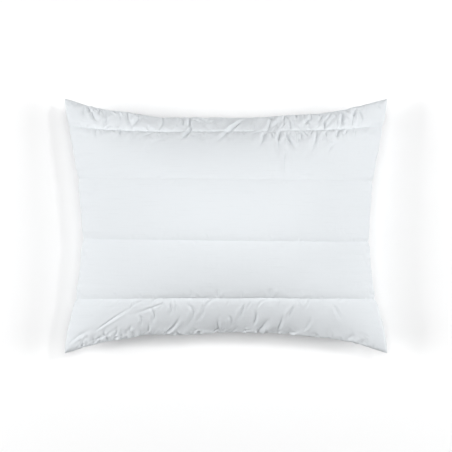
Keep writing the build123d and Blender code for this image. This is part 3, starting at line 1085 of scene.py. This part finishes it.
def settle(form):
    settling = Settling(form)
    upper, lower = settling.run()
    Workshop.nodes = (settling.s[0], settling.t[:, 0])
    Workshop.shift = {1: upper, -1: lower}


def shift_at(s, t, side):
    """The simulated shift read off at a finer or coarser grid, with a cubic each way."""
    if side not in Workshop.shift:
        return None
    middle = len(t) // 2, s.shape[1] // 2
    across = cubic_weights(s[middle[0]], Workshop.nodes[0])
    along = cubic_weights(t[:, middle[1]], Workshop.nodes[1])
    return np.einsum("ij,jkc,lk->ilc", along, Workshop.shift[side], across, optimize=True)


def finish_piece(obj, material, slot, *nodes):
    """Gives a piece its material and its body, and hides the imported parts that it stands for. The slot is
    not used.
    """
    obj.data.materials.append(material)
    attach(obj, BODY)
    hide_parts(*nodes)
    return obj


class PILLOW_OT_covers(bpy.types.Operator):
    """Makes the two cotton covers, with their quilting, folds and puckers"""

    bl_idname = "pillow.covers"
    bl_label = "Covers"

    def execute(self, context):
        sizes, colours = settings()
        form = Workshop.form = Form(sizes)
        settle(form)
        material = cotton(colours)
        for side, word, spacing in ((1, "upper", UPPER_SPACING), (-1, "lower", LOWER_SPACING)):
            s, t = panel_grid(form, *spacing)
            outer = panel_points(form, s, t, side, shift_at(s, t, side))
            out = normals(outer) * side
            thickness = FABRIC * ramp(edge_distance(form, s, t), *FABRIC_RAMP)
            inner = outer - out * thickness[..., None]
            if side < 0:
                inner[..., 2] = np.maximum(inner[..., 2], 0.5 * FABRIC)
            first, second = (outer, inner) if side > 0 else (inner, outer)
            obj = shell(f"{word}_cover_cloth", first, second, s, t, form)
            finish_piece(obj, material, "cover_cotton", f"{word}_cover")
            Workshop.panels[side] = (s, t, outer, out)
        return {"FINISHED"}


def smooth_panel(form, s, t, side):
    """A finished panel without its finest wrinkles."""
    points = panel_points(form, s, t, side, shift_at(s, t, side))
    for axis in (0, 1, 0, 1):
        points = smoothed(points, axis)
    return points


def under(surface, middle, depth):
    """The surface moved inwards by about depth, and by less where the pillow is thin."""
    inwards = middle - surface
    room = np.linalg.norm(inwards, axis=-1, keepdims=True)
    return surface + inwards * depth / (room + LAYER_ROOM)


def smoothed(points, axis):
    """A grid averaged with its neighbours along one axis, ends kept."""
    inner = points.copy()
    middle = [slice(None)] * 3
    middle[axis] = slice(1, -1)
    ahead, behind = list(middle), list(middle)
    ahead[axis], behind[axis] = slice(2, None), slice(0, -2)
    inner[tuple(middle)] = (points[tuple(ahead)] + 2 * points[tuple(middle)] + points[tuple(behind)]) / 4
    return inner


class PILLOW_OT_layers(bpy.types.Operator):
    """Makes the wadding, the backing and the loose filling under the covers"""

    bl_idname = "pillow.layers"
    bl_label = "Layers and filling"

    def execute(self, context):
        sizes, colours = settings()
        form = Workshop.form
        s, t = panel_grid(form, LAYER_SPACING, LAYER_SPACING)
        s, t = s * (LAYER_SHARE - LAYER_CORNER * t**8), t * (LAYER_SHARE - LAYER_CORNER * s**8)
        wadding = padding("quilting_wadding", colours.padding, 150, 0.0008)
        backing = padding("backing_fleece", shaded(colours.padding, 0.05), 400, 0.0002)
        fibre = padding("loose_fibre", colours.padding, 90, 0.002)
        ends = {}
        depths = COVER_GAP + np.cumsum([0, WADDING, LAYER_GAP, BACKING, LAYER_GAP])
        panels = {side: smooth_panel(form, s, t, side) for side in (1, -1)}
        middle = (panels[1] + panels[-1]) / 2
        for side, word in ((1, "upper"), (-1, "lower")):
            grids = [under(panels[side], middle, depth) for depth in depths]
            pad = self.layer(f"{word}_wadding", grids[0:2], side, (s, t, form), wadding, "wadding")
            sheet = self.layer(f"{word}_backing", grids[2:4], side, (s, t, form), backing, "backing")
            ends[side] = grids[4]
        body = shell("fibre_filling", ends[1], ends[-1], s, t, form)
        finish_piece(body, fibre, "fibre", "fibre_fill")
        return {"FINISHED"}

    @staticmethod
    def layer(node, grids, side, place, material, slot):
        """One thin layer between two grids, of which the first is nearer the cover."""
        first, second = grids if side > 0 else grids[::-1]
        return finish_piece(shell(f"{node}_layer", first, second, *place), material, slot, node)


class PILLOW_OT_quilting(bpy.types.Operator):
    """Makes the four stitched quilt lines on each panel"""

    bl_idname = "pillow.quilting"
    bl_label = "Quilt stitches"

    def execute(self, context):
        sizes, colours = settings()
        material = thread("quilting_thread", colours.thread)
        for side, word in ((1, "upper"), (-1, "lower")):
            t, outer, out = Workshop.panels[side][1:]
            for k, line in enumerate(Workshop.form.lines):
                row = np.abs(t[:, 0] - line).argmin()
                run = (outer[row, 2:-2], out[row, 2:-2])
                name = f"{word}_quilt_thread_{k + 1}"
                seed = 40 + k + 10 * side
                obj = stitches(name, [run], sizes.stitch_length, sizes.thread_radius, seed)
                finish_piece(obj, material, "quilt_thread", f"{word}_quilt_stitch_{k + 1}")
        return {"FINISHED"}


class PILLOW_OT_seams(bpy.types.Operator):
    """Makes the thread of the four edge seams and of the topstitched closing"""

    bl_idname = "pillow.seams"
    bl_label = "Edge seams and closing"

    def execute(self, context):
        sizes, colours = settings()
        material = thread("seam_thread", colours.thread)
        outer = Workshop.panels[1][2]
        runs = {
            "left_edge": (outer[:, 0], (-1, 0, 0)),
            "right_edge": (outer[:, -1], (1, 0, 0)),
            "front_edge": (outer[0], (0, -1, 0)),
            "back_edge": (outer[-1], (0, 1, 0)),
        }
        for k, (word, (path, way)) in enumerate(runs.items()):
            out_way = np.tile(np.array(way, float), (len(path), 1))
            run, pitch = (path, out_way), sizes.stitch_length * SEAM_PITCH
            obj = stitches(f"{word}_thread", [run], pitch, sizes.thread_radius, 60 + k)
            finish_piece(obj, material, "seam_thread", f"{word}_seam")
        self.closing(sizes, material)
        return {"FINISHED"}

    @staticmethod
    def closing(sizes, material):
        """The closing's topstitch, on both panels, one short way in from the edge."""
        paths = []
        for side in (1, -1):
            s, t, outer, out = Workshop.panels[side]
            row = np.abs(t[:, 0] - CLOSING_LINE).argmin()
            keep = (s[0] > CLOSING_SPAN[0]) & (s[0] < CLOSING_SPAN[1])
            paths.append((outer[row, keep], out[row, keep]))
        pitch = sizes.stitch_length * CLOSING_PITCH
        obj = stitches("closing_thread", paths, pitch, sizes.thread_radius, 70)
        finish_piece(obj, material, "seam_thread", "closing_seam")


class PILLOW_OT_stage(bpy.types.Operator):
    """Makes the floor, the soft light and the camera above the pillow"""

    bl_idname = "pillow.stage"
    bl_label = "Stage"

    def execute(self, context):
        colours = settings()[1]
        self.floor(colours.floor)
        for name, lamp in LAMPS.items():
            self.lamp(name, *lamp)
        self.world()
        self.camera()
        context.scene.view_settings.view_transform = "Standard"
        return {"FINISHED"}

    @staticmethod
    def floor(colour):
        """A wide flat floor, a hair below the ground that the pillow stands on."""
        signs = [(-1, -1), (1, -1), (1, 1), (-1, 1)]
        corners = [(FLOOR_HALF * x, FLOOR_HALF * y, FLOOR_Z) for x, y in signs]
        floor = new_object("floor", corners, [(0, 1, 2, 3)])
        floor.data.materials.append(studio_floor(colour))

    @staticmethod
    def lamp(name, place, size, watts):
        """A square area lamp that points at the origin."""
        light = bpy.data.lights.new(name, "AREA")
        light.size = size
        light.energy = watts
        lamp = bpy.data.objects.new(name, light)
        lamp.location = place
        lamp.visible_camera = False
        lamp.rotation_euler = (-Vector(place)).to_track_quat("-Z", "Y").to_euler()
        bpy.context.scene.collection.objects.link(lamp)

    @staticmethod
    def world():
        """An even surround: dim as a light, and bright as the camera sees it."""
        world = bpy.data.worlds.new("studio")
        world.use_nodes = True
        nodes, links = world.node_tree.nodes, world.node_tree.links
        glow = nodes["Background"]
        seen = nodes.new("ShaderNodeBackground")
        for background, strength in ((glow, WORLD_STRENGTH), (seen, BACKDROP_STRENGTH)):
            background.inputs["Color"].default_value = (*WORLD_COLOUR, 1)
            background.inputs["Strength"].default_value = strength
        mix = nodes.new("ShaderNodeMixShader")
        links.new(nodes.new("ShaderNodeLightPath").outputs["Is Camera Ray"], mix.inputs[0])
        links.new(glow.outputs[0], mix.inputs[1])
        links.new(seen.outputs[0], mix.inputs[2])
        links.new(mix.outputs[0], nodes["World Output"].inputs["Surface"])
        bpy.context.scene.world = world

    @staticmethod
    def camera():
        """Straight above the pillow, with its back edge at the top of the view."""
        data = bpy.data.cameras.new("camera")
        data.lens = CAMERA_LENS
        data.sensor_width = CAMERA_SENSOR
        camera = bpy.data.objects.new("camera", data)
        camera.location = (0, 0, CAMERA_FIELD * CAMERA_LENS / CAMERA_SENSOR + CAMERA_PLANE)
        bpy.context.scene.collection.objects.link(camera)
        bpy.context.scene.camera = camera


class PILLOW_PT_panel(bpy.types.Panel):
    """Lists the steps that make the pillow"""

    bl_label = "Quilted pillow"
    bl_idname = "PILLOW_PT_panel"
    bl_space_type = "VIEW_3D"
    bl_region_type = "UI"
    bl_category = "Pillow"

    def draw(self, context):
        for group in settings():
            for key in group.__annotations__:
                self.layout.prop(group, key)
        for step in STEPS:
            self.layout.operator(step.bl_idname)


STEPS = [PILLOW_OT_covers, PILLOW_OT_layers, PILLOW_OT_quilting, PILLOW_OT_seams, PILLOW_OT_stage]
CLASSES = [PillowSizes, PillowColours, *STEPS, PILLOW_PT_panel]


def register():
    """Registers the classes and puts the sizes and colours on the scene."""
    for kind in CLASSES:
        bpy.utils.register_class(kind)
    bpy.types.Scene.pillow_sizes = bpy.props.PointerProperty(type=PillowSizes)
    bpy.types.Scene.pillow_colours = bpy.props.PointerProperty(type=PillowColours)


def unregister():
    """Takes them away again."""
    del bpy.types.Scene.pillow_sizes
    del bpy.types.Scene.pillow_colours
    for kind in reversed(CLASSES):
        bpy.utils.unregister_class(kind)


def main():
    """Makes the pillow and its stage."""
    register()
    bpy.ops.pillow.stage()
    bpy.ops.pillow.covers()
    bpy.ops.pillow.layers()
    bpy.ops.pillow.quilting()
    bpy.ops.pillow.seams()


if __name__ == "__main__":
    main()
